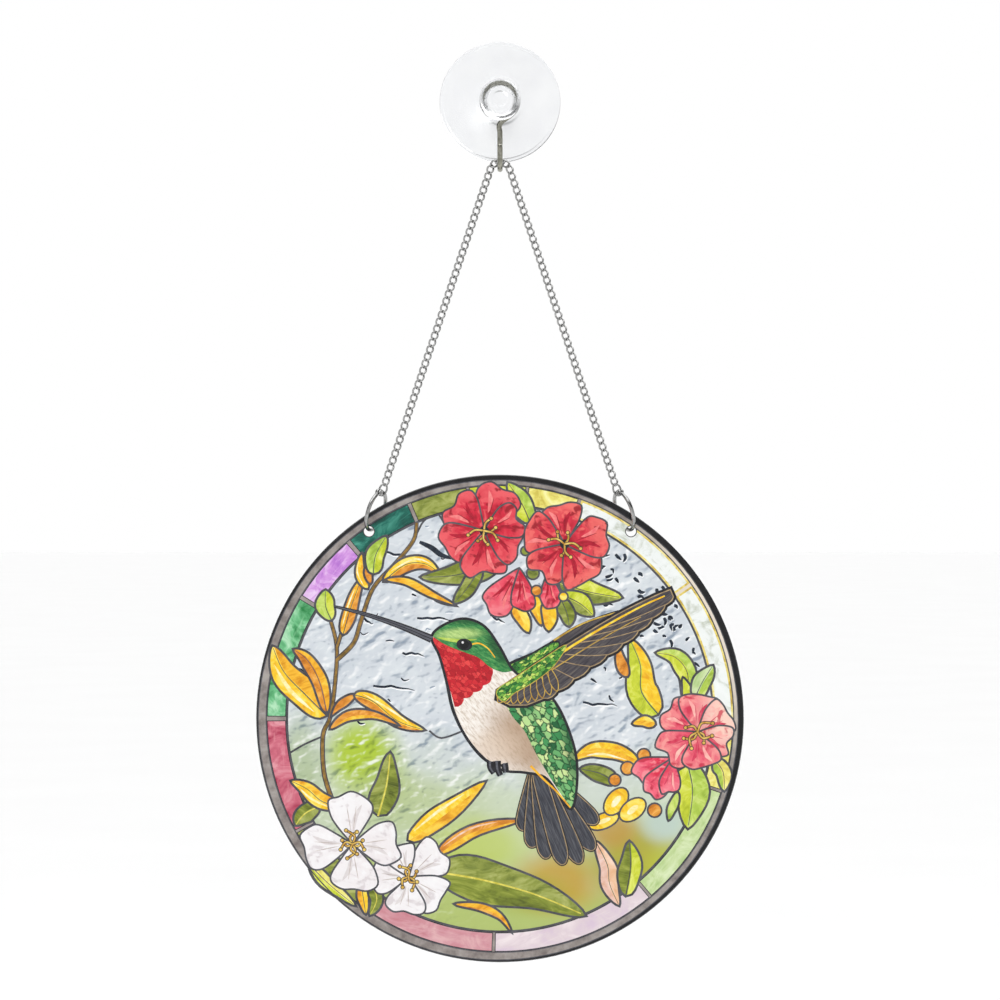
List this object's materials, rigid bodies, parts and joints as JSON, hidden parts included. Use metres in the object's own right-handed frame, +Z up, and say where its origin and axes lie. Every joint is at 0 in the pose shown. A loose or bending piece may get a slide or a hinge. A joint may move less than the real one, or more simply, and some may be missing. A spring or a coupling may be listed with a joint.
{
  "type": "acrylic window hanging",
  "caption": "Round flat acrylic disc with a stained-glass style picture, hung by ring clasps and a curb chain from the wire hook of a clear suction cup that sticks to a window.",
  "frame": {"origin": "centre of the suction cup's flat face, on the surface of the window pane", "axes": "+Z up, +Y into the window pane, -Y the side with the picture, +X to the right as seen from the room"},
  "size_m": [0.2, 0.0189, 0.3792],
  "materials": {
    "printed_acrylic": "polished clear acrylic with a translucent coloured print",
    "clear_vinyl": "soft clear vinyl, smooth and slightly waxy",
    "hook_wire": "bright nickel-plated spring wire",
    "chain_metal": "bright nickel-plated steel wire",
    "ring_metal": "polished nickel-plated steel"
  },
  "bodies": {
    "root": {"suction_cup": "clear_vinyl", "hook": "hook_wire", "chain_top_link": "chain_metal", "chain_left": "chain_metal", "chain_right": "chain_metal", "ring_left_body": "ring_metal", "ring_left_gate": "ring_metal", "ring_right_body": "ring_metal", "ring_right_gate": "ring_metal", "acrylic_disc": "printed_acrylic"}
  },
  "joints": []
}
